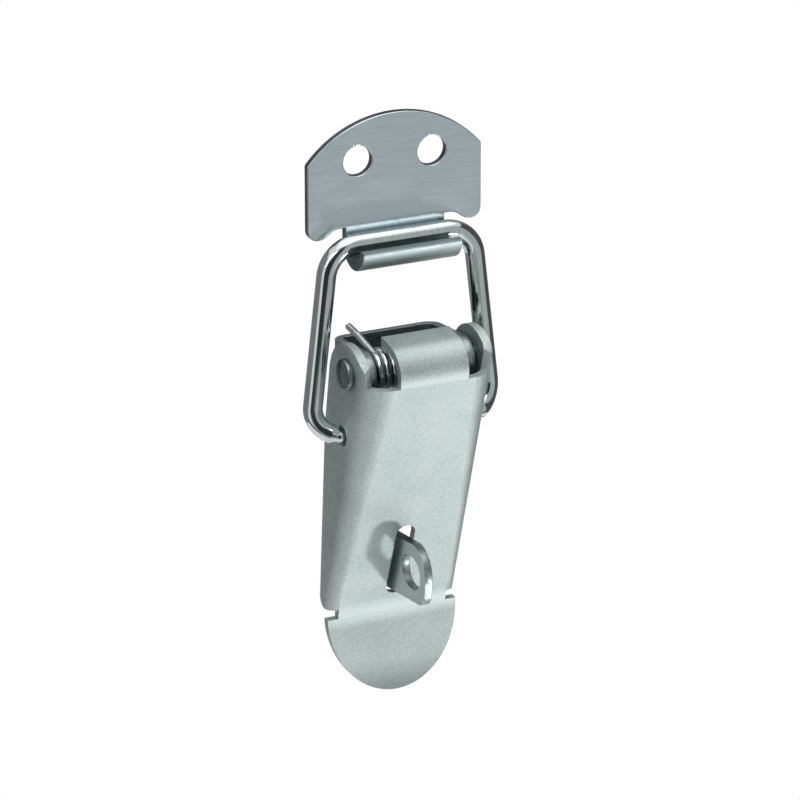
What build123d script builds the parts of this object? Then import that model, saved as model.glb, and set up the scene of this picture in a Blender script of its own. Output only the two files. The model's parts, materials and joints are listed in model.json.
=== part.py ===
from build123d import *

# Over centre toggle latch: lever, wire draw bail, hooked catch plate, base plate, rivet and spring.
#
# Millimetres, +Z up. X runs across the latch, it stands out towards -Y, and Y = 0 is the face that
# the base plate is screwed to. The origin is the middle of the base plate's two screw holes.
# A place in a side outline is (forward, above): its distance in front of the mounting face, and its
# height above the rivet's axis. Heights in front outlines are above the rivet's axis too.
import os
from math import acos, atan2, cos, degrees, hypot, radians, sin, tan

# ---------------------------------------------------------------- driving dimensions
sheet = 1.2                    # thickness of the three pressings
cut_margin = 3.0               # how far a cutting shape reaches past the metal
touch_gap = 0.05               # gap between pieces that lie on each other

# the rivet's axis
pivot_forward = 10.4           # in front of the mounting face
pivot_above_screws = 15.0      # above the middle of the base plate's screw holes

# rivet
rivet_diameter = 3.4
rivet_head_diameter = 4.5
rivet_head_edge = 0.8          # height of the heads at their rim
rivet_head_height = 1.1        # and at the middle of their low dome
running_clearance = 0.05       # radial, where the lever turns on the rivet
rivet_seat_gap = 0.02          # radial, where the base plate's ears hold it

# lever: side walls and face
lever_width = 19.8             # over its side walls
lever_length = 51.2            # from the rivet's axis down to the tip of the lip
face_ahead = 7.0               # outer face ahead of the rivet's axis, at its height
face_end_forward = 3.2         # outer face in front of the mounting face, at the walls' end
corner_radius_top = 4.2        # outer bend between face and walls, at the notches
corner_radius_end = 1.6        # the same bend where the walls end
wall_back_top = (2.5, -10.0)   # back edge of the walls, below the ears
wall_back_gap = 0.25           # between the walls' lower end and the mounting face
wall_end_round = 1.6           # rounding of the walls' lower corners

# lever: ears, notches and hood
ear_radius = 6.2               # round top of the lever's ears
ear_behind = 0.15              # its centre behind the rivet's axis
ear_below = 2.1                # and below it
ear_corner_angle = 31.0        # degrees of the corner bend that the ears keep
notch_level = -0.7             # bottom of the two notches
hood_width = 10.2              # the curl between the notches
hood_radius = 4.0              # outer radius of the curl
hood_end_ahead = 0.4           # the hood's end ahead of the rivet's axis
hood_end_level = 4.85          # and its height there
hood_rise = 8.0                # degrees by which its top rises towards that end

# lever: finger lip
relief_height = 1.35           # corner cut between the walls' end and the lip
lip_length = 11.6              # from there to the lip's lowest point
lip_bend_above = 0.4           # bend line above the lip's widest place
lip_bend_radius = 8.0
lip_tilt = 9.0                 # degrees by which the lip leans forward

# padlock lug and its slot in the lever
lug_height = 8.8               # at the mounting face
lug_above_end = 1.65           # its lower edge there, above the walls' end
lug_rise = 6.8                 # degrees by which both edges rise going forward
lug_ahead = 9.0                # how far it stands ahead of the lever's face
lug_lean = 9.0                 # degrees by which its front edge leans back
lug_top_radius = 4.0
lug_bottom_radius = 1.9
lug_hole_length = 5.8
lug_hole_height = 4.7
lug_hole_behind = 5.4          # hole's centre behind the lug's front
lug_hole_below = 3.1           # and below its top edge's start
lug_bend_radius = 0.8          # inner radius where the lug is bent out of the plate
slot_side_gap = 0.85           # slot beside the lug
slot_top_gap = 2.9             # slot above the lug's start
slot_bottom_gap = 0.2          # and below it

# base plate
base_side_gap = 0.7            # between the base plate's ears and the lever's walls
base_top = 1.65                # top edge of the plate
base_bend_radius = 1.0         # inner radius of the ears' bend
base_ear_radius = 3.1          # round end of the ears
base_ear_behind = 0.2          # its centre behind the rivet's axis
base_ear_below = 0.3           # and below it
base_ear_foot = (3.4, -9.0)    # where the ears run out
tail_step_gap = 1.5            # plate beside the lug ends this far above it
tail_end_gap = 0.9             # strip that carries the lug goes on this far below it
tail_corner_round = 1.5
screw_hole_diameter = 4.3
screw_spacing = 14.0

# catch plate
catch_step = 3.1               # its back lies this far in front of the mounting face
catch_width = 26.0
catch_height = 16.9            # from the lowest points, beside the tongue, to the top of the dome
catch_dome = 6.1               # height of the dome above the straight sides
catch_hole_spacing = 11.1
catch_hole_below = 6.25        # holes below the top of the dome
lobe_radius = 1.5
relief_rise = 1.3              # small reliefs beside the tongue, above the lowest points
relief_width = 0.75
tongue_width = 14.9
hook_level = 17.1              # height of the hook's centre
hook_below = 0.4               # and how far it is below the plate's lowest points
hook_turn = 177.0              # degrees through which the tongue is rolled
hook_play = 1.025              # radial room for the wire in the hook

# draw bail
wire_diameter = 2.75
wire_sides = 16                # the wire's section is a polygon, which keeps its bends light
pin_diameter = 1.8             # the wire's ends are drawn down to pins
pin_clearance = 0.55           # radial, where the pins turn in the lever's walls
pin_inside = 0.6               # how far they stand inside the walls
pin_neck = 0.35                # and how far outside them they start
wire_taper = 1.0               # length over which the wire narrows to the pin
bail_pivot_behind = 2.1        # where the bail turns, behind the rivet's axis
bail_pivot_below = 9.8         # and below it
bar_behind = 0.5               # bar's centre behind the hook's centre, at its height
leg_foot_gap = 3.75            # legs' lower corners outside the lever's walls
leg_foot_behind = 2.1          # behind the bail's pivot
leg_foot_rise = 1.3            # and above it
bail_hook_gap = 3.28           # legs' upper corners outside the tongue
bail_bottom_radius = 3.6
bail_top_radius = 4.6

# torsion spring
spring_wire = 1.0
spring_wire_sides = 8          # and so is the spring's, with fewer sides for its many coils
spring_play = 0.4              # between the coils and the rivet
coil_gap = 0.06                # between neighbouring coils
spring_turns = 5.25
spring_leg = 6.2               # length of the leg inside the lever
spring_foot = 2.5              # the other leg ends this far in front of the mounting face
spring_foot_level = 3.75       # and this far above the rivet's axis
spring_knee = (5.6, 3.5)       # where that leg is bent
spring_knee_radius = 1.2

# ---------------------------------------------------------------- derived sizes
pivot = (pivot_forward, 0)
wall_inside = lever_width / 2 - sheet
base_width = 2 * (wall_inside - base_side_gap)
base_inside = base_width / 2 - sheet
tail_width = base_width - 2 * (base_bend_radius + sheet)
wall_end = relief_height + lip_length - lever_length
face_slope = (pivot_forward + face_ahead - face_end_forward) / -wall_end
slant = hypot(1, face_slope)   # length along the face for each unit of height
bend_taper = (corner_radius_top - corner_radius_end) / (slant * (notch_level - wall_end))
bend_turn = degrees(acos(-bend_taper ** 2 / (1 + bend_taper ** 2)))
wall_back_end = (wall_back_gap, wall_end)
ear_centre = (pivot_forward - ear_behind, -ear_below)
bail_pivot = (pivot_forward - bail_pivot_behind, -bail_pivot_below)
lug_bottom = wall_end + lug_above_end
lug_top = lug_bottom + lug_height
slot_top = lug_top + slot_top_gap
slot_bottom = lug_bottom - slot_bottom_gap
tail_step = lug_top + tail_step_gap
tail_end = lug_bottom - tail_end_gap
catch_front = catch_step + sheet
lobe_bottom = hook_level + hook_below
catch_crown = lobe_bottom + catch_height
hook_radius = wire_diameter / 2 + hook_play
hook_centre = (catch_front + hook_radius, hook_level)
bail_bar = (hook_centre[0] - bar_behind, hook_level)
spring_radius = rivet_diameter / 2 + spring_play + spring_wire / 2


def height(above):
    """Height over the screw holes of a level given above the rivet's axis."""
    return pivot_above_screws + above


def side(place):
    """Point on Plane.YZ of a place given as (forward, above)."""
    return (-place[0], height(place[1]))


def face_line(above):
    """Distance of the lever's outer face from the mounting face, at a level."""
    return pivot_forward + face_ahead + face_slope * above


def tangent_place(centre, radius, place, turn):
    """Where the line from a place touches a circle, on the side given by the sign of turn."""
    across, up = place[0] - centre[0], place[1] - centre[1]
    angle = atan2(up, across) + turn * acos(radius / hypot(across, up))
    return (centre[0] + radius * cos(angle), centre[1] + radius * sin(angle))


def channel_form(inset):
    """Filled form of the lever's channel, drawn in by the inset.

    Each long bend tightens towards the lip, so it is part of a cone that touches face and wall.
    """
    face = Plane(origin=(0, *side((face_line(0), 0))), x_dir=(1, 0, 0), z_dir=(0, -1, -face_slope))
    face = face.offset(-inset)
    half = lever_width / 2 - inset
    low, high = slant * (wall_end - cut_margin), slant * (ear_radius + cut_margin)
    low_radius = corner_radius_end - bend_taper * slant * cut_margin - inset
    high_radius = low_radius + bend_taper * (high - low)
    wall_low = face.from_local_coords((half, low, -low_radius))
    wall_high = face.from_local_coords((half, high, -high_radius))
    axis_low = wall_low - Vector(low_radius, 0, 0)
    axis_high = wall_high - Vector(high_radius, 0, 0)
    run = wall_high - wall_low
    with BuildPart() as bend:
        with BuildSketch(Plane(wall_low, x_dir=(-1, 0, 0), z_dir=Vector(-1, 0, 0).cross(run))):
            with BuildLine():
                Polyline((0, 0), (0, run.length), (high_radius, run.length), (low_radius, 0), close=True)
            make_face()
        revolve(axis=Axis(axis_low, axis_low - axis_high), revolution_arc=bend_turn)
        mirror(about=Plane.YZ)
    with BuildPart() as form:
        # the face between its bends, with the metal behind it
        with BuildSketch(face):
            with BuildLine():
                low_half, high_half = half - low_radius, half - high_radius
                Polyline((-low_half, low), (low_half, low), (high_half, high), (-high_half, high), close=True)
            make_face()
        extrude(amount=-(corner_radius_top + cut_margin))
        # from wall to wall, all that lies behind the bends
        with BuildSketch(Plane.YZ):
            with BuildLine():
                Polyline((wall_low.Y, wall_low.Z), (wall_high.Y, wall_high.Z), (cut_margin, wall_high.Z),
                         (cut_margin, wall_low.Z), close=True)
            make_face()
        extrude(amount=half, both=True)
        add(bend.part)
    return form.part


def strip(places, radius):
    """Side outline of bent sheet: its front edge runs up through the places, its metal lies behind."""
    with BuildSketch(Plane.YZ) as outline:
        with BuildLine():
            FilletPolyline(*[side(place) for place in places], radius=radius)
            offset(amount=sheet, side=Side.RIGHT)
        make_face()
    return outline.sketch


os.makedirs("parts", exist_ok=True)

# ---------------------------------------------------------------- padlock lug
lug_forward = face_line(lug_top) + lug_ahead
with BuildPart() as lug:
    # plate, bend and lug in cross-section
    with BuildSketch(Plane.XY.offset(height(tail_end))):
        with BuildLine():
            half = sheet / 2
            root = -tail_width / 4
            Polyline((root, 0), (half, 0), (half, -lug_forward), (-half, -lug_forward), (-half, -sheet),
                     (root, -sheet), close=True)
        make_face()
        fillet(vertices().sort_by_distance((half, 0))[0], lug_bend_radius + sheet)
        fillet(vertices().sort_by_distance((-half, -sheet))[0], lug_bend_radius)
    extrude(amount=slot_top - tail_end + cut_margin)
    # its outline from the side
    rise = tan(radians(lug_rise)) * lug_forward
    lean = tan(radians(lug_lean)) * (lug_top - lug_bottom)
    front_top = (lug_forward, lug_top + rise)
    front_bottom = (lug_forward - lean, lug_bottom + rise)
    with BuildSketch(Plane.YZ):
        with BuildLine():
            places = [(0, lug_top), front_top, front_bottom, (0, lug_bottom)]
            Polyline(*[side(place) for place in places], close=True)
        make_face()
        fillet(vertices().sort_by_distance(side(front_top))[0], lug_top_radius)
        fillet(vertices().sort_by_distance(side(front_bottom))[0], lug_bottom_radius)
    extrude(amount=tail_width, both=True, mode=Mode.INTERSECT)
    with BuildSketch(Plane.YZ):
        with Locations(side((lug_forward - lug_hole_behind, lug_top - lug_hole_below))):
            SlotOverall(lug_hole_length, lug_hole_height)
    extrude(amount=sheet, both=True, mode=Mode.SUBTRACT)

# ---------------------------------------------------------------- base plate
base_ear_centre = (pivot_forward - base_ear_behind, -base_ear_below)
with BuildPart() as base_plate:
    # filled side outline of the ears and of the plate between them
    with BuildSketch(Plane.YZ):
        with BuildLine():
            plate_top, plate_foot = (0, base_top), (0, base_ear_foot[1])
            ear_top = tangent_place(base_ear_centre, base_ear_radius, plate_top, -1)
            ear_front = tangent_place(base_ear_centre, base_ear_radius, base_ear_foot, 1)
            places = [plate_top, ear_top, ear_front, base_ear_foot, plate_foot]
            Polyline(*[side(place) for place in places], close=True)
        make_face()
        with Locations(side(base_ear_centre)):
            Circle(base_ear_radius)
    extrude(amount=base_width / 2, both=True)
    fillet(edges().filter_by(Axis.Z).group_by(Axis.Y)[-1], base_bend_radius + sheet)
    # the room between the ears
    with BuildSketch(Plane.XY.offset(height(base_ear_foot[1]) - cut_margin)):
        with BuildLine():
            reach = pivot_forward + base_ear_radius + cut_margin
            Polyline((-base_inside, -reach), (-base_inside, -sheet), (base_inside, -sheet),
                     (base_inside, -reach), close=True)
        make_face()
        fillet(vertices().group_by(Axis.Y)[-1], base_bend_radius)
    extrude(amount=base_ear_radius - base_ear_foot[1] + 2 * cut_margin, mode=Mode.SUBTRACT)
    # flat tail, narrower beside the lug
    with BuildSketch(Plane.XZ):
        with BuildLine():
            half, bend_edge = tail_width / 2, -(sheet / 2 + lug_bend_radius)
            top, step, end = height(base_ear_foot[1]), height(tail_step), height(tail_end)
            Polyline((-half, top), (half, top), (half, step), (bend_edge, step), (bend_edge, end),
                     (-half, end), close=True)
        make_face()
        low_corners = vertices().filter_by(lambda corner: abs(corner.X) == half and corner.Y < top)
        fillet(low_corners, tail_corner_round)
    extrude(amount=sheet)
    add(lug.part)
    with BuildSketch(Plane.XZ):
        with GridLocations(0, screw_spacing, 1, 2):
            Circle(screw_hole_diameter / 2)
    extrude(amount=sheet, mode=Mode.SUBTRACT)
    with BuildSketch(Plane.YZ):
        with Locations(side(pivot)):
            Circle(rivet_diameter / 2 + rivet_seat_gap)
    extrude(amount=base_width, both=True, mode=Mode.SUBTRACT)
base_plate.part.label = "base_plate"
export_step(base_plate.part, "parts/base_plate.step")

# ---------------------------------------------------------------- lever
# hood: the face carried on in a curl between the notches
hood_end = (pivot_forward + hood_end_ahead, hood_end_level)
hood_slope = tan(radians(hood_rise))
curl_level = (hood_end_level - hood_slope * (face_ahead - hood_end_ahead)) / (1 + hood_slope * face_slope)
curl_corner = (face_line(curl_level), curl_level)
hood_foot = (face_line(notch_level - cut_margin), notch_level - cut_margin)
with BuildPart() as hood:
    extrude(strip([hood_foot, curl_corner, hood_end], hood_radius), amount=hood_width / 2, both=True)

# finger lip: the face bent forward below the walls and cut to a half ellipse
lip_shoulder = wall_end - relief_height
lip_corner = (face_line(lip_shoulder + lip_bend_above), lip_shoulder + lip_bend_above)
lip_root = (face_line(slot_bottom), slot_bottom)
lip_foot = (lip_corner[0] + tan(radians(lip_tilt)) * (lip_length + cut_margin),
            lip_corner[1] - lip_length - cut_margin)
with BuildPart() as lip:
    extrude(strip([lip_foot, lip_corner, lip_root], lip_bend_radius), amount=lever_width, both=True)
    with BuildSketch(Plane.XZ):
        with Locations((0, height(lip_shoulder))):
            Ellipse(lever_width / 2, lip_length)
            Rectangle(2 * lever_width, lip_length + cut_margin, align=(Align.CENTER, Align.MIN),
                      mode=Mode.SUBTRACT)
            Rectangle(lever_width - 2 * corner_radius_end, slot_bottom - lip_shoulder,
                      align=(Align.CENTER, Align.MIN))
    extrude(amount=pivot_forward + face_ahead, mode=Mode.INTERSECT)

with BuildPart() as lever:
    add(channel_form(0))
    add(channel_form(sheet), mode=Mode.SUBTRACT)
    # side outline of walls and ears
    with BuildSketch(Plane.YZ):
        with BuildLine():
            reach = face_line(ear_radius) + cut_margin
            ear_back = tangent_place(ear_centre, ear_radius, wall_back_top, -1)
            places = [(reach, notch_level), (ear_centre[0], notch_level), ear_back, wall_back_top,
                      wall_back_end, (reach, wall_end)]
            Polyline(*[side(place) for place in places], close=True)
        make_face()
        fillet(vertices().sort_by_distance(side(wall_back_end))[0], wall_end_round)
        with Locations(side(ear_centre)):
            Circle(ear_radius)
    extrude(amount=lever_width, both=True, mode=Mode.INTERSECT)
    # above the notches the face is cut away, square to the bend at the ears
    with BuildSketch(Plane.XY.offset(height(notch_level))):
        with BuildLine():
            bend_x = lever_width / 2 - corner_radius_top
            bend_y = corner_radius_top - face_line(notch_level)
            reach = corner_radius_top + 2 * cut_margin
            edge_x = bend_x + reach * cos(radians(ear_corner_angle))
            edge_y = bend_y - reach * sin(radians(ear_corner_angle))
            Polyline((-edge_x, edge_y), (-bend_x, bend_y), (bend_x, bend_y), (edge_x, edge_y), close=True)
        make_face()
    extrude(amount=ear_radius, mode=Mode.SUBTRACT)
    add(hood.part)
    add(lip.part)
    # slot for the lug
    with BuildSketch(Plane.XZ):
        with Locations((0, height((slot_top + slot_bottom) / 2))):
            SlotOverall(slot_top - slot_bottom, sheet + 2 * slot_side_gap, rotation=90)
    extrude(amount=pivot_forward + face_ahead, mode=Mode.SUBTRACT)
    # holes for the rivet and for the wire
    with BuildSketch(Plane.YZ):
        with Locations(side(pivot)):
            Circle(rivet_diameter / 2 + running_clearance)
        with Locations(side(bail_pivot)):
            Circle(pin_diameter / 2 + pin_clearance)
    extrude(amount=lever_width, both=True, mode=Mode.SUBTRACT)
lever.part.label = "lever"
export_step(lever.part, "parts/lever.step")

# ---------------------------------------------------------------- rivet
with BuildPart() as pivot_rivet:
    with BuildSketch(Plane.XZ.offset(pivot_forward)):
        with BuildLine():
            shank, head = rivet_diameter / 2, rivet_head_diameter / 2
            under = lever_width / 2 + touch_gap
            rim, crown = under + rivet_head_edge, under + rivet_head_height
            profile = Polyline((0, height(shank)), (under, height(shank)), (under, height(head)),
                               (rim, height(head)))
            TangentArc((crown, height(0)), profile @ 1, tangent=(0, 1))
            Line((crown, height(0)), (0, height(0)))
            mirror(about=Plane.YZ)
        make_face()
    revolve(axis=Axis((0, -pivot_forward, height(0)), (1, 0, 0)))
pivot_rivet.part.label = "pivot_rivet"
export_step(pivot_rivet.part, "parts/pivot_rivet.step")

# ---------------------------------------------------------------- draw bail
# one half, from the pin to the middle of the bar; the foot slopes forward from the leg to the wall
wall_face = lever_width / 2
bail_foot = Vector(-(wall_face + leg_foot_gap), *side((bail_pivot[0] - leg_foot_behind,
                                                      bail_pivot[1] + leg_foot_rise)))
bail_corner = Vector(-(tongue_width / 2 + bail_hook_gap), *side(bail_bar))
pin_start = Vector(-(wall_face + pin_neck), *side(bail_pivot))
foot_run = (bail_foot - pin_start).normalized()
taper_start = pin_start + foot_run * wire_taper
with BuildPart() as draw_bail:
    with BuildLine() as half_path:
        leg_middle = (bail_foot + bail_corner) / 2
        FilletPolyline(taper_start, bail_foot, leg_middle, radius=bail_bottom_radius)
        FilletPolyline(leg_middle, bail_corner, (0, *side(bail_bar)), radius=bail_top_radius)
    with BuildSketch(Plane(origin=taper_start, x_dir=(0, 0, 1), z_dir=foot_run)):
        RegularPolygon(wire_diameter / 2, wire_sides)
    sweep(path=half_path.line)
    # the wire narrows to the pin, which turns in the lever's wall
    with BuildSketch(Plane(origin=taper_start, x_dir=(0, 0, 1), z_dir=foot_run)):
        RegularPolygon(wire_diameter / 2, wire_sides)
    with BuildSketch(Plane(origin=pin_start, x_dir=(0, 0, 1), z_dir=foot_run)):
        RegularPolygon(pin_diameter / 2, wire_sides)
    loft()
    with Locations(pin_start):
        Sphere(pin_diameter / 2)
    with BuildSketch(Plane(origin=pin_start, z_dir=(1, 0, 0))):
        Circle(pin_diameter / 2)
    extrude(amount=pin_neck + sheet + pin_inside)
    mirror(about=Plane.YZ)
draw_bail.part.label = "draw_bail"
export_step(draw_bail.part, "parts/draw_bail.step")

# ---------------------------------------------------------------- catch plate
with BuildPart() as catch_plate:
    with BuildSketch(Plane.XZ.offset(catch_step)):
        with BuildLine():
            half, tongue = catch_width / 2, tongue_width / 2
            low, crown = height(lobe_bottom), height(catch_crown)
            top, shoulder = low + relief_rise, crown - catch_dome
            lowest, relief = (half - lobe_radius, low), (tongue + relief_width, top)
            middle = ((lowest[0] + relief[0]) / 2, (low + top) / 2)
            ThreePointArc((-half, shoulder), (0, crown), (half, shoulder))
            flank = Line((half, shoulder), (half, low + lobe_radius))
            corner = TangentArc(flank @ 1, lowest, tangent=flank % 1)
            foot = TangentArc(corner @ 1, middle, tangent=corner % 1)
            rise = TangentArc(foot @ 1, relief, tangent=foot % 1)
            Line(rise @ 1, (0, top))
            mirror(about=Plane.YZ)
        make_face()
        with Locations((0, height(catch_crown - catch_hole_below))):
            with GridLocations(catch_hole_spacing, 0, 2, 1):
                Circle(screw_hole_diameter / 2, mode=Mode.SUBTRACT)
    extrude(amount=sheet)
    # tongue and hook from the side
    with BuildSketch(Plane.YZ):
        with BuildLine():
            outer = CenterArc(side(hook_centre), hook_radius + sheet, 0, -hook_turn)
            inner = CenterArc(side(hook_centre), hook_radius, 0, -hook_turn)
            root = lobe_bottom + relief_rise
            Polyline(outer @ 0, side((catch_step, root)), side((catch_front, root)), inner @ 0)
            Line(outer @ 1, inner @ 1)
        make_face()
    extrude(amount=tongue_width / 2, both=True)
catch_plate.part.label = "catch_plate"
export_step(catch_plate.part, "parts/catch_plate.step")

# ---------------------------------------------------------------- torsion spring
# wound from the left; its first leg runs back from above the rivet, and is bent over the plate
spring_left = -(base_inside - spring_wire / 2 - touch_gap)
leg_end = (spring_foot, spring_foot_level)
leave = tangent_place(pivot, spring_radius, spring_knee, -1)
spring_plane = Plane(origin=(spring_left, *side(pivot)), z_dir=(1, 0, 0),
                     x_dir=(0, pivot_forward - leave[0], leave[1]))
with BuildPart() as torsion_spring:
    with BuildLine() as spring_line:
        pitch = spring_wire + coil_gap
        places = [Vector(spring_left, *side(place)) for place in (leg_end, spring_knee, leave)]
        FilletPolyline(*[spring_plane.to_local_coords(place) for place in places],
                       radius=spring_knee_radius)
        Helix(pitch=pitch, height=pitch * spring_turns, radius=spring_radius)
        turned = radians(360 * spring_turns)
        outwards, onwards = Vector(cos(turned), sin(turned)), Vector(-sin(turned), cos(turned))
        coil_end = outwards * spring_radius + Vector(0, 0, pitch * spring_turns)
        Line(coil_end, coil_end + onwards * spring_leg)
    spring_path = spring_plane.from_local_coords(spring_line.line)
    with BuildSketch(Plane(origin=spring_path @ 0, x_dir=(1, 0, 0), z_dir=spring_path % 0)):
        RegularPolygon(spring_wire / 2, spring_wire_sides)
    sweep(path=spring_path, is_frenet=True)
torsion_spring.part.label = "torsion_spring"
export_step(torsion_spring.part, "parts/torsion_spring.step")
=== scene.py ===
# %% [markdown]
# # An over centre toggle latch
#
# The latch is pressed from sheet steel, turns on one rivet and closes with a bent wire. The
# mechanical model already gives every piece its place and its joint. It could be rendered as it is,
# but knife-sharp edges and one flat grey would give it away. So this lesson rounds the edges of the
# pressings, bends both wires afresh with node trees, and builds a finish for each piece.

# %% Load the mechanical model
import json
from math import acos, atan2, cos, hypot, pi, radians, sin, tan

import bmesh
import bpy
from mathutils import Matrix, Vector


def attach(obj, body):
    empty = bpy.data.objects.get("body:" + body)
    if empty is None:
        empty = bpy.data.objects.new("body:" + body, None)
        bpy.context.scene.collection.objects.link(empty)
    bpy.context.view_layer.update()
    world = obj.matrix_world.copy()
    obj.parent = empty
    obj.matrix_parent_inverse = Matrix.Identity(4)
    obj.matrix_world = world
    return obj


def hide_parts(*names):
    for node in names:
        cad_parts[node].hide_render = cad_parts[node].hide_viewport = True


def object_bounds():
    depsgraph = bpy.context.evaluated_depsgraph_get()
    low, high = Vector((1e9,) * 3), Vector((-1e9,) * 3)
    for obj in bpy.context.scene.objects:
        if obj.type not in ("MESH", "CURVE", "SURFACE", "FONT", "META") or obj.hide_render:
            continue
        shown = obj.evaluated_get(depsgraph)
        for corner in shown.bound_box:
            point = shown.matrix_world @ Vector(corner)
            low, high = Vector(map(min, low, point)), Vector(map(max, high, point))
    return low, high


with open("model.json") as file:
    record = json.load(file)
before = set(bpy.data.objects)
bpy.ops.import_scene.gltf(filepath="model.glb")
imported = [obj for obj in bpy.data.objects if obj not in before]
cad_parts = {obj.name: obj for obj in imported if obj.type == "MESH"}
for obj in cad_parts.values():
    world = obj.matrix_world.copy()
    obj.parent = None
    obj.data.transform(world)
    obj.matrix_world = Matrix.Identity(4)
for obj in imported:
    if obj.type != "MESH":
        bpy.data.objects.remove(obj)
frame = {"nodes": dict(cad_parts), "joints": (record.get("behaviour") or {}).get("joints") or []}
cad_box = [list(corner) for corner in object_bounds()]
MM = 0.001
joint_places = {joint["name"]: Vector(joint["pos_m"]) for joint in frame["joints"]}
RIVET = joint_places["lever_pivot"]
PINS = joint_places["bail_pivot"]
print("pieces:", ", ".join(sorted(frame["nodes"])))
print("rivet axis at", [round(value / MM, 2) for value in RIVET], "mm")

# %% [markdown]
# A latch in a catalogue is shown with a long lens, which keeps parallel edges parallel and leaves the
# sizes easy to judge. A short lens close by would make the lip look huge. The camera stands 0.7 m
# away, a little above and to the left, and looks at the rivet. A small shift of the film, which turns
# nothing, sets the latch in the middle of the picture.

# %% Camera
CAMERA_TURN = radians(25.0)
CAMERA_TILT = radians(21.0)
CAMERA_DISTANCE = 0.700
CAMERA_LENS = 229.95
CAMERA_SHIFT = (-0.0175, -0.0456)
NEAREST = 0.01
FARTHEST = 20.0

level = cos(CAMERA_TILT)
look = Vector((sin(CAMERA_TURN) * level, cos(CAMERA_TURN) * level, -sin(CAMERA_TILT)))
camera_data = bpy.data.cameras.new("camera")
camera_data.lens = CAMERA_LENS
camera_data.shift_x, camera_data.shift_y = CAMERA_SHIFT
camera_data.clip_start = NEAREST
camera_data.clip_end = FARTHEST
camera = bpy.data.objects.new("camera", camera_data)
camera.location = RIVET - look * CAMERA_DISTANCE
camera.rotation_euler = look.to_track_quat("-Z", "Y").to_euler()
bpy.context.scene.collection.objects.link(camera)
bpy.context.scene.camera = camera
bpy.context.scene.view_settings.view_transform = "Standard"
print("camera at", [round(value, 3) for value in camera.location], "m")

# %% [markdown]
# Bare metal has no colour of its own to show: it shows the room. A plain white world would light the
# steel as strongly as it fills the background, and the pressings would fade into it. A grey world
# would give a grey background. So the room is split by kind of ray. Where the camera or a reflection
# looks at it, it is white. Where it only sheds light, it is dimmer.

# %% Two kinds of ray
WHITE = (1.0, 1.0, 1.0, 1.0)
LOOKING_RAYS = ("Is Camera Ray", "Is Glossy Ray", "Is Transmission Ray")


def new_node(tree, kind, **settings):
    """Adds a node to a tree and sets its properties."""
    node = tree.nodes.new(kind)
    for name, value in settings.items():
        setattr(node, name, value)
    return node


def seen_directly(tree):
    """A socket that is 1 for rays that look at something, and 0 for shed light."""
    path = new_node(tree, "ShaderNodeLightPath")
    seen = path.outputs[LOOKING_RAYS[0]]
    for other in LOOKING_RAYS[1:]:
        larger = new_node(tree, "ShaderNodeMath", operation="MAXIMUM")
        tree.links.new(seen, larger.inputs[0])
        tree.links.new(path.outputs[other], larger.inputs[1])
        seen = larger.outputs[0]
    return seen


def white_when_seen(tree, shed, seen, output):
    """Joins two shaders, so that the second takes over where it is looked at."""
    mix = new_node(tree, "ShaderNodeMixShader")
    out = new_node(tree, output)
    tree.links.new(seen_directly(tree), mix.inputs["Fac"])
    tree.links.new(shed.outputs[0], mix.inputs[1])
    tree.links.new(seen.outputs[0], mix.inputs[2])
    tree.links.new(mix.outputs[0], out.inputs["Surface"])


print("rays that look:", ", ".join(LOOKING_RAYS))

# %% [markdown]
# The world is the air of the room. Its light comes from all sides and is a little cool, as in a
# daylight studio, which gives bare steel its faint blue. A picture of a real room could light it, but
# two plain colours are enough and leave the reflections to the cards below.

# %% White room
ROOM_LIGHT = 0.45
ROOM_COLOUR = (0.93, 0.97, 1.0, 1.0)

world = bpy.data.worlds.new("white_room")
bpy.context.scene.world = world
world.use_nodes = True
world.node_tree.nodes.clear()
dim_air = new_node(world.node_tree, "ShaderNodeBackground")
dim_air.inputs["Color"].default_value = ROOM_COLOUR
dim_air.inputs["Strength"].default_value = ROOM_LIGHT
white_air = new_node(world.node_tree, "ShaderNodeBackground")
white_air.inputs["Color"].default_value = WHITE
white_when_seen(world.node_tree, dim_air, white_air, "ShaderNodeOutputWorld")
print("room light", ROOM_LIGHT)

# %% [markdown]
# The latch hangs as it would on a cabinet, so nothing touches the floor. The floor could lie close
# under the lip, but the key lamp of this lesson shines upwards and has to stand above it. A plain
# pale sheet 0.4 m below leaves room for that. Seen directly it is white, like the room.

# %% Floor
FLOOR_DROP = 400.0
FLOOR_SIZE = 6.0
FLOOR_COLOUR = (0.92, 0.92, 0.92, 1.0)


def flat_sheet(name, width, height):
    """A rectangle in its own XY plane, stretched from a square with sides of 1 m."""
    mesh = bpy.data.meshes.new(name)
    form = bmesh.new()
    bmesh.ops.create_grid(form, x_segments=1, y_segments=1, size=0.5)
    bmesh.ops.scale(form, verts=form.verts, vec=(width, height, 1.0))
    form.to_mesh(mesh)
    form.free()
    sheet = bpy.data.objects.new(name, mesh)
    bpy.context.scene.collection.objects.link(sheet)
    return sheet


def empty_material(name):
    """A material whose node tree is still empty."""
    material = bpy.data.materials.new(name)
    material.use_nodes = True
    material.node_tree.nodes.clear()
    return material


floor = flat_sheet("floor", FLOOR_SIZE, FLOOR_SIZE)
floor.location.z = cad_box[0][2] - FLOOR_DROP * MM
floor_paint = empty_material("floor_paint")
matt = new_node(floor_paint.node_tree, "ShaderNodeBsdfDiffuse")
matt.inputs["Color"].default_value = FLOOR_COLOUR
white = new_node(floor_paint.node_tree, "ShaderNodeEmission")
white.inputs["Color"].default_value = WHITE
white_when_seen(floor_paint.node_tree, matt, white, "ShaderNodeOutputMaterial")
floor.data.materials.append(floor_paint)
print("floor", FLOOR_DROP, "mm below the latch")

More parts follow.
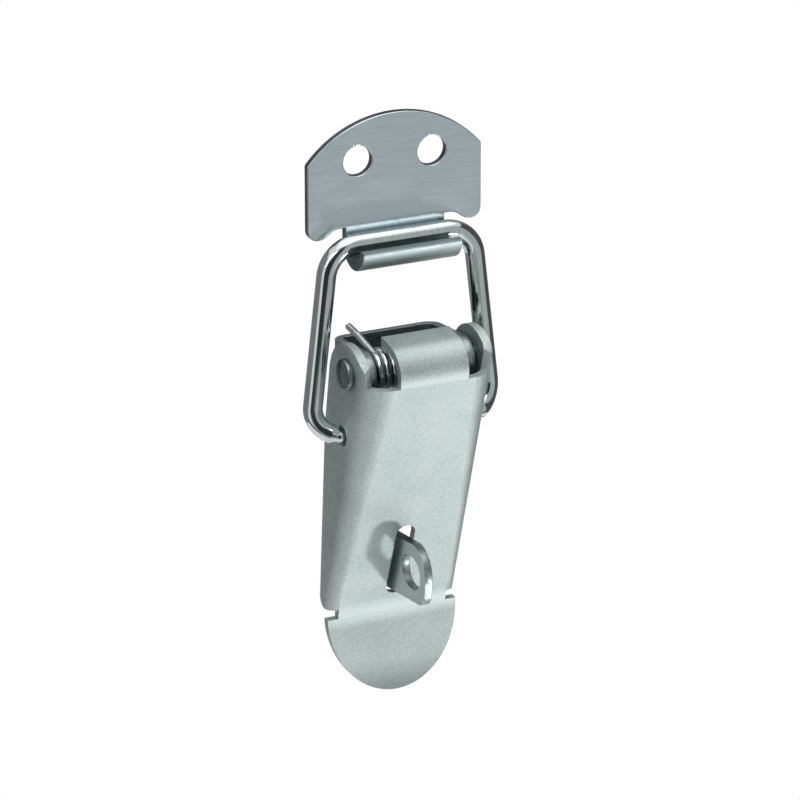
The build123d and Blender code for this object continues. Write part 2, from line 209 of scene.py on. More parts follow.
# %% [markdown]
# Polished wire mirrors the whole room in a few thin stripes, and in an all-white room it would nearly
# vanish. A photographer stands grey and dark cards round the object to draw those stripes. Stripes
# could be painted on the wire, but they would stay put when it moves, so real cards are stood here
# too. Each glows with its own grey. Only reflections see it, so it throws no shadow and never shows.

# %% One card
CARD_DISTANCE = 0.6
CARD_COOLNESS = 1.03


def card(name, bearing, half_angle, low, high, grey):
    """An upright card: its bearing from +X and half width in degrees, its ends in metres."""
    ahead = Vector((cos(radians(bearing)), sin(radians(bearing)), 0.0))
    sheet = flat_sheet(name, 2 * CARD_DISTANCE * tan(radians(half_angle)), high - low)
    sheet.location = RIVET + ahead * CARD_DISTANCE + Vector((0.0, 0.0, (low + high) / 2))
    sheet.rotation_euler = (-ahead).to_track_quat("Z", "Y").to_euler()
    paint = empty_material(name)
    shine = new_node(paint.node_tree, "ShaderNodeEmission")
    shine.inputs["Color"].default_value = (grey, grey * CARD_COOLNESS, grey * CARD_COOLNESS, 1.0)
    out = new_node(paint.node_tree, "ShaderNodeOutputMaterial")
    paint.node_tree.links.new(shine.outputs[0], out.inputs["Surface"])
    sheet.data.materials.append(paint)
    sheet.visible_camera = False
    sheet.visible_diffuse = False
    sheet.visible_shadow = False
    sheet.visible_transmission = False


print("cards stand", CARD_DISTANCE, "m from the rivet")

# %% [markdown]
# The cards make a ring: nearly black behind the camera, mid grey in front and below it, and dark at
# the right and behind the latch. At the left the ring is open above and black below. One tall tube of
# card would be simpler, but it would draw a single band, and a stripe is only as long as its card.

# %% Ring of cards
# name, bearing and half angle in degrees, lower and upper end in metres, grey
CARDS = (
    ("front_card", -61, 29, -0.60, 0.55, 0.54),
    ("camera_card", -117, 27, -0.20, 0.60, 0.04),
    ("under_camera_card", -117, 27, -0.55, -0.20, 0.40),
    ("left_low_card", -160, 24, -1.00, -0.33, 0.06),
    ("back_left_card", 145, 44, -0.80, 0.50, 0.26),
    ("back_card", 65, 36, -0.60, 0.50, 0.18),
    ("right_card", -1, 31, -0.60, 0.50, 0.10),
)
for values in CARDS:
    card(*values)
print(len(CARDS), "cards stand round the latch")

# %% [markdown]
# The lamps model the form. A small key lamp stands low in front at the right, so that the padlock lug
# throws a crisp shadow on the lever, with a bright spot where its hole is. A broad lamp overhead draws
# the soft band along the curled hood, and a broad one at the left fills the shadows. One lamp could
# not do all three: small enough for the crisp shadow, it would draw no band.

# %% Lamps
# name, direction from the rivet, distance in metres, size in metres, watts
LAMPS = (
    ("key_lamp", (0.45, -0.68, -0.555), 0.5, (0.045, 0.045), 0.88),
    ("top_lamp", (0.10, -0.10, 0.99), 0.5, (0.60, 0.44), 1.25),
    ("fill_lamp", (-0.60, -0.55, 0.45), 0.7, (0.40, 0.40), 1.0),
)


def area_lamp(name, direction, distance, size, power):
    """A rectangular lamp in a direction from the rivet, turned to face it."""
    data = bpy.data.lights.new(name, "AREA")
    data.shape = "RECTANGLE"
    data.size, data.size_y = size
    data.energy = power
    lamp = bpy.data.objects.new(name, data)
    lamp.location = RIVET + Vector(direction).normalized() * distance
    lamp.rotation_euler = (RIVET - lamp.location).to_track_quat("-Z", "Y").to_euler()
    lamp.visible_camera = False
    bpy.context.scene.collection.objects.link(lamp)


for values in LAMPS:
    area_lamp(*values)
print(len(LAMPS), "lamps,", round(sum(values[-1] for values in LAMPS), 2), "W in all")

# %% [markdown]
# Each finish of the latch is a bare metal with marks of how it was made and used. A fine noise gives
# the grain, and stretched along one direction it becomes the lines that rolling leaves. A broad noise
# gives cloudy wear. A picture of steel could be wrapped round the pieces instead, but noise on Object
# coordinates needs no unwrapping and never smears.

# %% Grain and wear
WEAR_SCALE = 170.0
WEAR_DETAIL = 2.0
GRAIN_DETAIL = 3.0
WEAR_SHARE = 0.3


def noise(tree, place, scale, detail):
    """A noise at a place, with so many cells to the metre."""
    node = new_node(tree, "ShaderNodeTexNoise")
    node.inputs["Scale"].default_value = scale
    node.inputs["Detail"].default_value = detail
    tree.links.new(place, node.inputs["Vector"])
    return node.outputs["Fac"]


def grain_and_wear(tree, place, grain, stretch):
    """The grain, and its mix with the cloudy wear."""
    mapping = new_node(tree, "ShaderNodeMapping")
    mapping.inputs["Scale"].default_value = stretch
    tree.links.new(place, mapping.inputs["Vector"])
    fine = noise(tree, mapping.outputs[0], grain, GRAIN_DETAIL)
    broad = noise(tree, place, WEAR_SCALE, WEAR_DETAIL)
    mix = new_node(tree, "ShaderNodeMix", data_type="FLOAT")
    mix.inputs["Factor"].default_value = WEAR_SHARE
    tree.links.new(fine, mix.inputs["A"])
    tree.links.new(broad, mix.inputs["B"])
    return fine, mix.outputs["Result"]


print("clouds of wear are about", round(1 / WEAR_SCALE / MM, 1), "mm across")

# %% [markdown]
# The end of the lever's lip is darker towards its bottom. This is painted shade for the bend of the
# real lip, so a finish darkens its colour between two heights. A painted mask would do as well, but
# a height is simpler and fits the lip by itself.

# %% Painted shade on the lip
def paint_shade_below(tree, place, colour, low, high, share):
    """Painted shade: a colour that is untouched above a height and falls to a share of itself lower
    down.
    """
    height = new_node(tree, "ShaderNodeSeparateXYZ")
    fade = new_node(tree, "ShaderNodeMapRange", interpolation_type="SMOOTHSTEP")
    tint = new_node(tree, "ShaderNodeMix", data_type="RGBA", blend_type="MULTIPLY")
    fade.inputs["From Min"].default_value = low * MM
    fade.inputs["From Max"].default_value = high * MM
    fade.inputs["To Min"].default_value = share
    tint.inputs["Factor"].default_value = 1.0
    tree.links.new(place, height.inputs[0])
    tree.links.new(height.outputs["Z"], fade.inputs["Value"])
    tree.links.new(colour, tint.inputs["A"])
    tree.links.new(fade.outputs[0], tint.inputs["B"])
    return tint.outputs["Result"]


print("made the helper paint_shade_below")

# %% [markdown]
# One recipe makes all the finishes: full metal, with its colour and its roughness moved by the mix of
# grain and wear, and the grain alone raised by a hundredth of a millimetre at most. Nine separate
# trees would say the same thing nine times.

# %% Steel recipe
COLOUR_REACH = (0.38, 0.62)
GLOSS_REACH = (0.3, 0.7)


def spread(tree, value, reach, ends=(0.0, 1.0)):
    """Stretches the part of a value inside its reach to new ends."""
    node = new_node(tree, "ShaderNodeMapRange")
    node.inputs["From Min"].default_value, node.inputs["From Max"].default_value = reach
    node.inputs["To Min"].default_value, node.inputs["To Max"].default_value = ends
    tree.links.new(value, node.inputs["Value"])
    return node.outputs[0]


def steel(name, light, dark, roughness, wear, grain, stretch, relief, painted_lip_shade=None):
    """A worn steel. The grain is in cells to the metre, and its relief is in millimetres."""
    material = bpy.data.materials.new(name)
    material.use_nodes = True
    tree = material.node_tree
    shader = tree.nodes["Principled BSDF"]
    shader.inputs["Metallic"].default_value = 1.0
    place = new_node(tree, "ShaderNodeTexCoord").outputs["Object"]
    fine, worn = grain_and_wear(tree, place, grain, stretch)
    tones = new_node(tree, "ShaderNodeMix", data_type="RGBA")
    tones.inputs["A"].default_value = (*dark, 1.0)
    tones.inputs["B"].default_value = (*light, 1.0)
    tree.links.new(spread(tree, worn, COLOUR_REACH), tones.inputs["Factor"])
    colour = tones.outputs["Result"]
    # painted shade on the colour, where heights for it are given
    if painted_lip_shade:
        colour = paint_shade_below(tree, place, colour, *painted_lip_shade)
    tree.links.new(colour, shader.inputs["Base Color"])
    gloss = spread(tree, worn, GLOSS_REACH, (roughness - wear, roughness + wear))
    tree.links.new(gloss, shader.inputs["Roughness"])
    bump = new_node(tree, "ShaderNodeBump")
    bump.inputs["Distance"].default_value = relief * MM
    tree.links.new(fine, bump.inputs["Height"])
    tree.links.new(bump.outputs[0], shader.inputs["Normal"])
    print(name, "has a roughness of", roughness)
    return material


print("noise between", COLOUR_REACH[0], "and", COLOUR_REACH[1], "moves the colour")

# %% [markdown]
# The lever is tumbled with small stones after pressing, to take off the burrs. That leaves a pale,
# matt skin of fine speckle with no direction, so its noise is even and its roughness high. Brushed
# lines could be drawn instead, but they would tell of a belt that never touched it.

# %% Lever finish
EVEN = (1.0, 1.0, 1.0)
# painted shade on the lip: lower and upper height in mm, and the share of colour left at the lower one
LIP_PAINTED_SHADE = (-36.5, -31.0, 0.55)

lever_steel = steel(
    "lever_steel",
    light=(0.535, 0.60, 0.59),
    dark=(0.385, 0.45, 0.445),
    roughness=0.60,
    wear=0.06,
    grain=3400.0,
    stretch=EVEN,
    relief=0.010,
    # the lip's end gets painted shade
    painted_lip_shade=LIP_PAINTED_SHADE,
)

# %% [markdown]
# The base plate is the same sheet, and it mostly sees the inside of the lever, so its colour is
# painted darker: painted shade. Its padlock lug stands out in the open, and its flat sides are painted
# much brighter: painted light. A painted mask could brighten them, but a second finish is simpler,
# because the faces are easy to pick.

# %% Base plate finishes, with painted shade and painted light
# painted shade: darker than the lever, though it is the same sheet
base_shaded_steel = steel(
    "base_shaded_steel",
    light=(0.34, 0.38, 0.38),
    dark=(0.22, 0.25, 0.25),
    roughness=0.42,
    wear=0.06,
    grain=2500.0,
    stretch=EVEN,
    relief=0.005,
)
# painted light: the lug's flat sides are much brighter than the rest of the sheet
lug_lit_steel = steel(
    "lug_lit_steel",
    light=(0.84, 0.89, 0.89),
    dark=(0.74, 0.79, 0.79),
    roughness=0.42,
    wear=0.06,
    grain=3000.0,
    stretch=EVEN,
    relief=0.003,
)

# %% [markdown]
# The catch plate keeps the skin of the rolling mill: smooth, a little blue, with faint lines across
# its width. An anisotropic shader could smear its highlights that way, but a noise stretched along X
# also shows the lines themselves.

# %% Catch plate finish
keeper_steel = steel(
    "keeper_steel",
    light=(0.55, 0.62, 0.655),
    dark=(0.51, 0.58, 0.615),
    roughness=0.155,
    wear=0.03,
    grain=6000.0,
    stretch=(0.03, 1.0, 1.0),
    relief=0.0003,
)

# %% [markdown]
# Where the sheet was rolled into the hook its skin is stretched and rougher, and its colour is
# painted much darker than the plate's: painted shade, which also keeps the key lamp's highlight low.
# Where it was sheared it is dark and torn. Both could be left in the plate's own finish, but then the
# hook would mirror the lamps, and the thin edges would vanish against the room.

# %% Hook finish with painted shade, and edge finish
# painted shade: far darker than the plate it is rolled from
hook_shaded_steel = steel(
    "hook_shaded_steel",
    light=(0.27, 0.32, 0.32),
    dark=(0.22, 0.265, 0.265),
    roughness=0.46,
    wear=0.06,
    grain=3000.0,
    stretch=(0.2, 1.0, 1.0),
    relief=0.002,
)
sheared_steel = steel(
    "sheared_steel",
    light=(0.20, 0.22, 0.23),
    dark=(0.10, 0.11, 0.12),
    roughness=0.35,
    wear=0.06,
    grain=4000.0,
    stretch=EVEN,
    relief=0.001,
)

# %% [markdown]
# Drawn wire is pulled through a die, which polishes it and leaves faint lines along it. The bail's
# legs are nearly upright, so its noise is stretched along Z. Lines that follow every bend would need
# a map along the wire, and on so smooth a skin nobody would see them. The spring is wound from harder
# wire that is a little rougher.

# %% Wire finishes
wire_steel = steel(
    "wire_steel",
    light=(0.60, 0.65, 0.65),
    dark=(0.50, 0.55, 0.55),
    roughness=0.12,
    wear=0.03,
    grain=1500.0,
    stretch=(1.0, 1.0, 0.08),
    relief=0.001,
)
spring_steel = steel(
    "spring_steel",
    light=(0.68, 0.71, 0.71),
    dark=(0.50, 0.53, 0.53),
    roughness=0.18,
    wear=0.04,
    grain=1500.0,
    stretch=EVEN,
    relief=0.001,
)

# %% [markdown]
# The rivet's finish is darker than the pressings, and on its shank between the ears that dark colour
# is painted shade. It could share the base plate's finish, but its domes are smoother, and a lower
# roughness lets them glint.

# %% Rivet finish, partly painted shade
# darker than the pressings, and painted shade on the shank between the ears
rivet_dark_shaded_steel = steel(
    "rivet_dark_shaded_steel",
    light=(0.26, 0.29, 0.30),
    dark=(0.16, 0.18, 0.19),
    roughness=0.22,
    wear=0.06,
    grain=2500.0,
    stretch=EVEN,
    relief=0.002,
)

# %% [markdown]
# The mechanical model arrives as loose triangles. A bevel needs whole edges, so a copy is welded and
# the triangles that lie in one plane are joined to flat faces. The model itself could be welded, but
# it is left alone, and the copy takes its place later.

# %% Welded copy
WELD = 0.002
FLAT_ANGLE = radians(1.0)


def welded_mesh(node):
    """A copy of a mechanical piece's mesh with its triangles joined to flat faces."""
    mesh = frame["nodes"][node].data.copy()
    form = bmesh.new()
    form.from_mesh(mesh)
    bmesh.ops.remove_doubles(form, verts=form.verts, dist=WELD * MM)
    bmesh.ops.dissolve_limit(form, angle_limit=FLAT_ANGLE, verts=form.verts, edges=form.edges)
    form.to_mesh(mesh)
    form.free()
    mesh.shade_smooth()
    return mesh


print("points closer than", WELD, "mm are welded")

# %% [markdown]
# Pressed sheet has no sharp edges. The punch rounds one edge of a cut, and tumbling takes the burr
# off the other. The rounding could be cut in the mechanical model, where it would cost many faces. A
# bevel does it here. Bevelled flat faces look dented unless their shading is weighted, so a second
# modifier does that. Both are baked into a plain mesh, and the piece stays at the origin.

# %% Rounded edges
EDGE_ROUND = 0.14
EDGE_SEGMENTS = 2
EDGE_ANGLE = radians(38.0)
FLAT_WEIGHT = 50


def as_plain_mesh(piece):
    """Replaces a piece's mesh by what its modifiers make, and removes them."""
    depsgraph = bpy.context.evaluated_depsgraph_get()
    made = bpy.data.meshes.new_from_object(piece.evaluated_get(depsgraph))
    piece.modifiers.clear()
    piece.data = made
    print(piece.name, len(made.vertices), "vertices")


def rounded(node, material):
    """A copy of a mechanical piece with its edges rounded."""
    mesh = welded_mesh(node)
    mesh.materials.clear()
    mesh.materials.append(material)
    piece = bpy.data.objects.new(node + "_rounded", mesh)
    bpy.context.scene.collection.objects.link(piece)
    bevel = piece.modifiers.new("edge_round", "BEVEL")
    bevel.width = EDGE_ROUND * MM
    bevel.segments = EDGE_SEGMENTS
    bevel.limit_method = "ANGLE"
    bevel.angle_limit = EDGE_ANGLE
    flat_faces = piece.modifiers.new("flat_faces", "WEIGHTED_NORMAL")
    flat_faces.mode = "FACE_AREA"
    flat_faces.weight = FLAT_WEIGHT
    as_plain_mesh(piece)
    return piece


print("edges are rounded by", EDGE_ROUND, "mm")

# %% [markdown]
# The lever is one pressing: a channel whose walls grow shallow towards the lip, two ears for the
# rivet, and a hood curled over the spring. It could be built again from a subdivided cage, but its
# size has to stay that of the mechanical piece, so that piece is rounded. It is all one skin and
# needs one finish. The finished copy rides on the lever's body and replaces the mechanical piece.

# %% Lever
def hand_over(piece, body, node):
    """Lets a finished piece ride on its body in place of the mechanical one."""
    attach(piece, body)
    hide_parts(node)
    print(piece.name, "rides on", body)


lever = rounded("lever", lever_steel)
hand_over(lever, "lever", "lever")

# %% [markdown]
# The base plate is screwed to the box. Its ears carry the rivet, and its lug reaches through the slot
# in the lever, where a padlock can hold it shut. The lug could be cut off as a piece of its own, but
# the real one is bent out of the same sheet. So its flat sides are only picked, by where they are and
# which way they face, and get the bright finish, which is painted light.

# %% Base plate
# outside the lever, the lug is below this height and ahead of this Y, in mm
LUG_TOP = -8.0
LUG_BACK = -9.0
SIDEWAYS = 0.5


def other_finish(piece, material, chosen):
    """Gives a material to the faces for which chosen(middle in mm, normal) is true."""
    piece.data.materials.append(material)
    picked = [face for face in piece.data.polygons if chosen(face.center / MM, face.normal)]
    for face in picked:
        face.material_index = len(piece.data.materials) - 1
    print(piece.name, len(picked), "faces in", material.name)


def lit_lug_side(middle, normal):
    """True on the flat sides of the lug, which get painted light."""
    return middle.z < LUG_TOP and middle.y < LUG_BACK and abs(normal.x) > SIDEWAYS


base_plate = rounded("base_plate", base_shaded_steel)
other_finish(base_plate, lug_lit_steel, lit_lug_side)
hand_over(base_plate, "base", "base_plate")

# %% [markdown]
# The catch plate is screwed to the lid. A step brings its tongue forward, and the tongue is rolled
# into the hook that the wire pulls on. It is one sheet, so it stays one piece, and its finishes are
# picked face by face. The hook, whose darker finish is painted shade, is what lies below the flat part
# and in front of it. The sheared faces look sideways, or they belong to the flat part and look neither
# to the front nor to the back.

# %% Catch plate
# the tongue is below this height and ahead of this Y, and the flat part is above a third place, in mm
TONGUE_TOP = 35.0
TONGUE_BACK = -1.9
FLAT_BOTTOM = 34.5
# how far a normal may point to the front or back on a cut, and has to point sideways on an end
EDGEWISE = 0.2
SHEARED_SIDEWAYS = 0.35


def painted_shade_hook(middle, normal):
    """True on the tongue and the hook rolled from it, whichever way the face looks. They get painted
    shade.
    """
    return middle.z < TONGUE_TOP and middle.y < TONGUE_BACK


def sheared(middle, normal):
    """True on the sheared ends and in the holes, and false on their rounded edges."""
    outer = abs(normal.x) > SHEARED_SIDEWAYS or middle.z > FLAT_BOTTOM
    return outer and abs(normal.y) < EDGEWISE


catch_plate = rounded("catch_plate", keeper_steel)
other_finish(catch_plate, hook_shaded_steel, painted_shade_hook)
other_finish(catch_plate, sheared_steel, sheared)
hand_over(catch_plate, "base", "catch_plate")

# %% [markdown]
# The rivet goes through both ears of the lever and both of the base plate, and its heads are low
# domes with a rim. A new lathe-turned shape would only repeat the mechanical one, so this is rounded
# too, and its rim catches the light as a thin crescent.

# %% Rivet
pivot_rivet = rounded("pivot_rivet", rivet_dark_shaded_steel)
hand_over(pivot_rivet, "base", "pivot_rivet")

# %% [markdown]
# The bail and the spring are bent from wire on machines that feed it straight and turn it at set
# places. A curve object would do for one wire, but a node tree keeps each size as a named input, and
# both wires can share its steps. The last ones come first here: a round section follows the line, as
# thick as the line's radius says, its ends are closed, and it gets its finish.

# %% Round section along a line
def join(tree, links):
    """Links pairs of sockets."""
    for source, target in links:
        tree.links.new(source, target)


def wrap_in_wire(tree, given, curve):
    """Runs a round section along a curve, and ends the tree."""
    ring = new_node(tree, "GeometryNodeCurvePrimitiveCircle")
    ring.inputs["Radius"].default_value = 1.0
    radius = new_node(tree, "GeometryNodeInputRadius")
    tube = new_node(tree, "GeometryNodeCurveToMesh")
    tube.inputs["Fill Caps"].default_value = True
    smooth = new_node(tree, "GeometryNodeSetShadeSmooth")
    real = new_node(tree, "GeometryNodeRealizeInstances")
    finish = new_node(tree, "GeometryNodeSetMaterial")
    out = new_node(tree, "NodeGroupOutput")
    join(tree, (
        (given["Sides"], ring.inputs["Resolution"]),
        (curve, tube.inputs["Curve"]),
        (ring.outputs["Curve"], tube.inputs["Profile Curve"]),
        (radius.outputs[0], tube.inputs["Scale"]),
        (tube.outputs["Mesh"], smooth.inputs["Geometry"]),
        (smooth.outputs["Geometry"], real.inputs["Geometry"]),
        (real.outputs["Geometry"], finish.inputs["Geometry"]),
        (given["Material"], finish.inputs["Material"]),
        (finish.outputs["Geometry"], out.inputs[0]),
    ))


print("made the helpers join and wrap_in_wire")

# %% [markdown]
# Before that, the line itself. A row of points is put where the machine would turn the wire, the
# points are joined, and each corner is rounded with its own bend. Where the points go differs for
# each wire, so the tree asks a function of that wire for them. A line could also be drawn point by
# point in the script, but then no size could be changed afterwards.

# %% Line through points
def wire_tree(name, inputs, points):
    """A tree for a round wire. points adds the nodes for its count, places, bends and radii."""
    tree = bpy.data.node_groups.new(name, "GeometryNodeTree")
    tree.interface.new_socket("Geometry", in_out="OUTPUT", socket_type="NodeSocketGeometry")
    for label, kind in inputs:
        tree.interface.new_socket(label, in_out="INPUT", socket_type=kind)
    given = new_node(tree, "NodeGroupInput").outputs
    count, place, bend, thickness = points(tree, given)
    row = new_node(tree, "GeometryNodeMeshLine")
    placed = new_node(tree, "GeometryNodeSetPosition")
    line = new_node(tree, "GeometryNodeMeshToCurve")
    drawn = new_node(tree, "GeometryNodeSetCurveRadius")
    bent = new_node(tree, "GeometryNodeFilletCurve", mode="POLY")
    bent.inputs["Limit Radius"].default_value = True
    join(tree, (
        (count, row.inputs["Count"]),
        (row.outputs["Mesh"], placed.inputs["Geometry"]),
        (place, placed.inputs["Position"]),
        (placed.outputs["Geometry"], line.inputs["Mesh"]),
        (line.outputs["Curve"], drawn.inputs["Curve"]),
        (thickness, drawn.inputs["Radius"]),
        (drawn.outputs["Curve"], bent.inputs["Curve"]),
        (bend, bent.inputs["Radius"]),
        (given["Bend steps"], bent.inputs["Count"]),
    ))
    wrap_in_wire(tree, given, bent.outputs["Curve"])
    return tree


print("made the helper wire_tree")

# %% [markdown]
# The points are worked out from their number in the row, so the trees need a little arithmetic. These
# helpers add one node each and return its result. An Index Switch picks the value with a given number
# from a list, which reads better than a chain of comparisons.

# %% Arithmetic for the points
def give(tree, target, value):
    """Sets a socket to a number, or links another socket to it."""
    if isinstance(value, (int, float)):
        target.default_value = value
    else:
        tree.links.new(value, target)


def maths(tree, operation, first, second=0.0):
    """The result of a Math node. Each side is a socket or a number."""
    node = new_node(tree, "ShaderNodeMath", operation=operation)
    give(tree, node.inputs[0], first)
    give(tree, node.inputs[1], second)
    return node.outputs[0]


def combine(tree, *sides):
    """A vector of three sockets or numbers."""
    node = new_node(tree, "ShaderNodeCombineXYZ")
    for target, value in zip(node.inputs, sides):
        give(tree, target, value)
    return node.outputs[0]


def vector_maths(tree, operation, first, second):
    """The result of a Vector Math node on two sockets."""
    node = new_node(tree, "ShaderNodeVectorMath", operation=operation)
    give(tree, node.inputs[0], first)
    give(tree, node.inputs[1], second)
    return node.outputs[0]


def pick(tree, kind, number, values):
    """The value with that number. Each value is a socket or a number."""
    node = new_node(tree, "GeometryNodeIndexSwitch", data_type=kind)
    while len(node.index_switch_items) < len(values):
        node.index_switch_items.new()
    give(tree, node.inputs["Index"], number)
    for target, value in zip(list(node.inputs)[1:], values):
        give(tree, target, value)
    return node.outputs[0]


print("made the helpers give, maths, combine, vector_maths and pick")

# %% [markdown]
# A tree works as a modifier on an empty mesh. Its inputs are known by the identifiers of its sockets,
# not by their labels, and they are set before the modifier first runs. The result is then baked into
# a plain mesh like the rounded pieces, because an export can't carry a live tree.

# %% Bending a wire
def bent_wire(name, tree, settings):
    """The plain mesh that a wire tree makes with these settings."""
    piece = bpy.data.objects.new(name, bpy.data.meshes.new(name))
    bpy.context.scene.collection.objects.link(piece)
    modifier = piece.modifiers.new("wire", "NODES")
    modifier.node_group = tree
    sockets = [item for item in tree.interface.items_tree if item.in_out == "INPUT"]
    for socket in sockets:
        modifier[socket.identifier] = settings[socket.name]
    as_plain_mesh(piece)
    return piece


print("made the helper bent_wire")

# %% [markdown]
# The draw bail is one wire. Its bar lies in the hook, its legs spread towards the feet so that they
# clear the lever's walls, and its feet slope forward to thin pins that turn in the walls' holes. A
# rounded rectangle would be simpler, but it would rub on the walls. These are its half widths, and
# its other measures from the pins' axis. They give the five corners of its right half.

# %% Corners of the bail
PIN_INNER = 8.1
PIN_OUTER = 10.25
TAPER = 1.0
FOOT = 13.65
FOOT_BACK = 2.1
FOOT_RISE = 1.3
SHOULDER = 10.73
BAR_RISE = 26.9

elbow = Vector((PIN_OUTER * MM, PINS.y, PINS.z))
foot = Vector((FOOT * MM, PINS.y + FOOT_BACK * MM, PINS.z + FOOT_RISE * MM))
BAIL_CORNERS = {
    "Pin end": Vector((PIN_INNER * MM, PINS.y, PINS.z)),
    "Elbow": elbow,
    "Taper end": elbow + (foot - elbow).normalized() * TAPER * MM,
    "Foot": foot,
    "Shoulder": Vector((SHOULDER * MM, foot.y, PINS.z + BAR_RISE * MM)),
}
print("the bail's centre lines are", 2 * SHOULDER, "mm apart at the bar and", 2 * FOOT, "at the feet")

# %% [markdown]
# The left half mirrors the right one, so five corners are enough for ten points: each point takes the
# corner that is as far from its own end of the row, and the first five have their X turned over. A
# Mirror modifier would leave a seam in the middle of the bar.

# %% Points of the bail
COMMON_INPUTS = (
    ("Wire radius", "NodeSocketFloat"),
    ("Bend steps", "NodeSocketInt"),
    ("Sides", "NodeSocketInt"),
    ("Material", "NodeSocketMaterial"),
)
BAIL_INPUTS = COMMON_INPUTS + tuple((corner, "NodeSocketVector") for corner in BAIL_CORNERS) + (
    ("Pin radius", "NodeSocketFloat"),
    ("Elbow bend", "NodeSocketFloat"),
    ("Foot bend", "NodeSocketFloat"),
    ("Shoulder bend", "NodeSocketFloat"),
)


def bail_points(tree, given):
    """Two mirrored rows of the bail's corners."""
    points = 2 * len(BAIL_CORNERS)
    count = new_node(tree, "FunctionNodeInputInt", integer=points)
    index = new_node(tree, "GeometryNodeInputIndex").outputs[0]
    corner = maths(tree, "MINIMUM", index, maths(tree, "SUBTRACT", points - 1, index))
    place = pick(tree, "VECTOR", corner, [given[label] for label in BAIL_CORNERS])
    right = maths(tree, "GREATER_THAN", index, (points - 1) / 2)
    side = maths(tree, "SUBTRACT", maths(tree, "MULTIPLY", right, 2), 1)
    mirrored = vector_maths(tree, "MULTIPLY", place, combine(tree, side, 1.0, 1.0))
    bends = [0.0, given["Elbow bend"], 0.0, given["Foot bend"], given["Shoulder bend"]]
    thin, thick = given["Pin radius"], given["Wire radius"]
    thickness = pick(tree, "FLOAT", corner, [thin, thin, thick, thick, thick])
    return count.outputs[0], mirrored, pick(tree, "FLOAT", corner, bends), thickness


bail_tree = wire_tree("bail_tree", BAIL_INPUTS, bail_points)
print("the bail's tree has", len(bail_tree.nodes), "nodes")

# %% [markdown]
# With its tree built, the bail only needs its sizes. The wire is drawn down to thinner pins at its
# ends, the elbow beside them is tight, and the corners of the loop are wide. Both thicknesses are
# taken a hair under their nominal size, because a round wire would else stand out beyond the
# mechanical one.

# %% Draw bail
INSIDE = 0.995
WIRE = 2.75
PIN = 1.8
ELBOW_BEND = 0.6
FOOT_BEND = 3.6
SHOULDER_BEND = 4.6
BAIL_STEPS = 14
BAIL_SIDES = 32

draw_bail = bent_wire("draw_bail_wire", bail_tree, {
    **BAIL_CORNERS,
    "Wire radius": WIRE / 2 * INSIDE * MM,
    "Pin radius": PIN / 2 * INSIDE * MM,
    "Elbow bend": ELBOW_BEND * MM,
    "Foot bend": FOOT_BEND * MM,
    "Shoulder bend": SHOULDER_BEND * MM,
    "Bend steps": BAIL_STEPS,
    "Sides": BAIL_SIDES,
    "Material": wire_steel,
})
hand_over(draw_bail, "bail", "draw_bail")

# %% [markdown]
# The torsion spring lifts the lever when the wire lets go. Its first leg comes forward over the base
# plate with a slight bend at the knee, the wire winds a little over five turns round the rivet, and
# its other leg presses on the lever from inside. The first leg has to meet the coil along a tangent,
# so the angle where the coil starts is worked out from the knee. By eye it would leave a kink. The
# knee's place is its Y and its Z.

# %% Where the coil starts and ends
COIL_RADIUS = 2.6
COIL_PITCH = 1.06
COIL_TURNS = 5.25
COIL_LEFT = -6.25
KNEE_PLACE = (-5.6, 18.5)
OTHER_LEG = 6.2

knee_ahead = RIVET.y / MM - KNEE_PLACE[0]
knee_above = KNEE_PLACE[1] - RIVET.z / MM
start_angle = atan2(knee_above, knee_ahead) - acos(COIL_RADIUS / hypot(knee_ahead, knee_above))
end_angle = start_angle - 2 * pi * COIL_TURNS
leg_end = Vector((
    COIL_LEFT + COIL_PITCH * COIL_TURNS,
    RIVET.y / MM - COIL_RADIUS * cos(end_angle) - OTHER_LEG * sin(end_angle),
    RIVET.z / MM + COIL_RADIUS * sin(end_angle) - OTHER_LEG * cos(end_angle),
))
print("the coil starts at", round(start_angle / radians(1.0), 1), "degrees")

# %% [markdown]
# A coil is a rule, so the tree works it out: each point is turned a little further and stands a little
# further along. A Spiral node makes a coil too, but then its legs would have to be welded on. Two
# points come before the coil, for the foot and the knee, and one comes after it.

# %% Points of the spring
SPRING_INPUTS = COMMON_INPUTS + (
    ("Foot", "NodeSocketVector"),
    ("Knee", "NodeSocketVector"),
    ("Coil start", "NodeSocketVector"),
    ("Leg end", "NodeSocketVector"),
    ("Coil radius", "NodeSocketFloat"),
    ("Start angle", "NodeSocketFloat"),
    ("Turns", "NodeSocketFloat"),
    ("Pitch", "NodeSocketFloat"),
    ("Coil points", "NodeSocketInt"),
    ("Knee bend", "NodeSocketFloat"),
)
BEFORE_COIL = 2


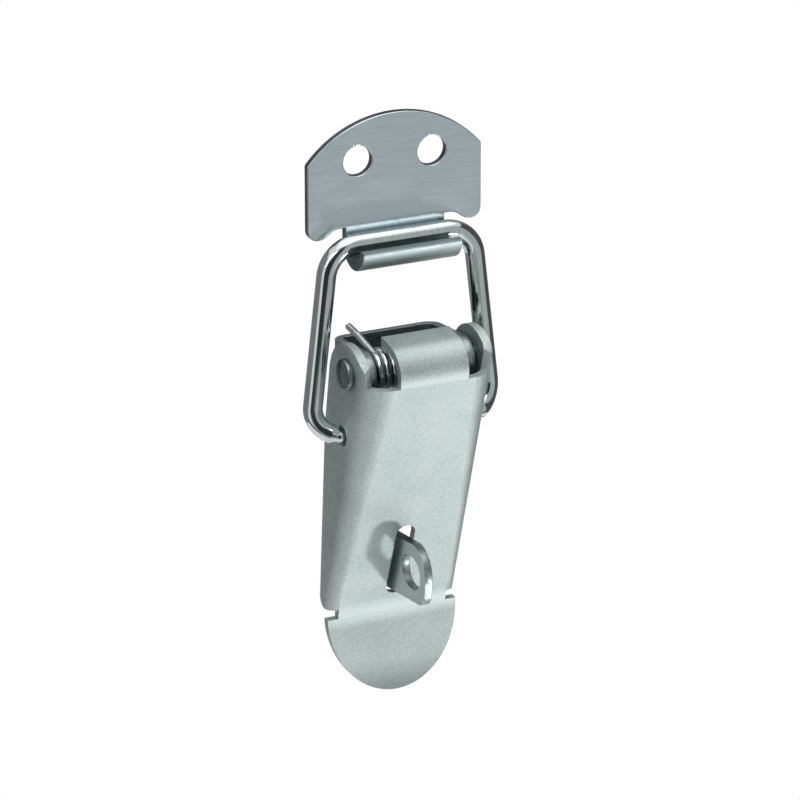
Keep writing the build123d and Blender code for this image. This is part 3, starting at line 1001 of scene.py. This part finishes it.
def coil_place(tree, given, number):
    """The place of a point of the coil, counted from its start."""
    gaps = maths(tree, "SUBTRACT", given["Coil points"], 1)
    turned = maths(tree, "MULTIPLY", maths(tree, "DIVIDE", number, gaps), given["Turns"])
    angle = maths(tree, "SUBTRACT", given["Start angle"], maths(tree, "MULTIPLY", turned, 2 * pi))
    ahead = maths(tree, "MULTIPLY", maths(tree, "COSINE", angle), given["Coil radius"])
    above = maths(tree, "MULTIPLY", maths(tree, "SINE", angle), given["Coil radius"])
    along = maths(tree, "MULTIPLY", turned, given["Pitch"])
    offset = combine(tree, along, maths(tree, "MULTIPLY", ahead, -1), above)
    return vector_maths(tree, "ADD", given["Coil start"], offset)


def spring_points(tree, given):
    """The foot, the knee, the points of the coil, and the end of the other leg."""
    index = new_node(tree, "GeometryNodeInputIndex").outputs[0]
    number = maths(tree, "SUBTRACT", index, BEFORE_COIL)
    last = maths(tree, "SUBTRACT", given["Coil points"], 0.5)
    past_coil = maths(tree, "GREATER_THAN", number, last)
    step = maths(tree, "ADD", maths(tree, "MINIMUM", index, BEFORE_COIL), past_coil)
    coil = coil_place(tree, given, number)
    place = pick(tree, "VECTOR", step, [given["Foot"], given["Knee"], coil, given["Leg end"]])
    bend = pick(tree, "FLOAT", step, [0.0, given["Knee bend"], 0.0, 0.0])
    count = maths(tree, "ADD", given["Coil points"], BEFORE_COIL + 1)
    return count, place, bend, given["Wire radius"]


spring_tree = wire_tree("spring_tree", SPRING_INPUTS, spring_points)
print("the spring's tree has", len(spring_tree.nodes), "nodes")

# %% [markdown]
# The spring is wound from thin wire. Its coil has enough points to look round, and fewer sides than
# the bail, because each of its many rings would otherwise cost faces that nobody sees.

# %% Torsion spring
SPRING_WIRE = 1.0
COIL_POINTS = 190
FOOT_PLACE = (-2.5, 18.75)
KNEE_BEND = 1.2
SPRING_STEPS = 8
SPRING_SIDES = 20

torsion_spring = bent_wire("torsion_spring_wire", spring_tree, {
    "Foot": Vector((COIL_LEFT, *FOOT_PLACE)) * MM,
    "Knee": Vector((COIL_LEFT, *KNEE_PLACE)) * MM,
    "Coil start": Vector((COIL_LEFT * MM, RIVET.y, RIVET.z)),
    "Leg end": leg_end * MM,
    "Coil radius": COIL_RADIUS * MM,
    "Start angle": start_angle,
    "Turns": COIL_TURNS,
    "Pitch": COIL_PITCH * MM,
    "Coil points": COIL_POINTS,
    "Knee bend": KNEE_BEND * MM,
    "Wire radius": SPRING_WIRE / 2 * INSIDE * MM,
    "Bend steps": SPRING_STEPS,
    "Sides": SPRING_SIDES,
    "Material": spring_steel,
})
hand_over(torsion_spring, "base", "torsion_spring")
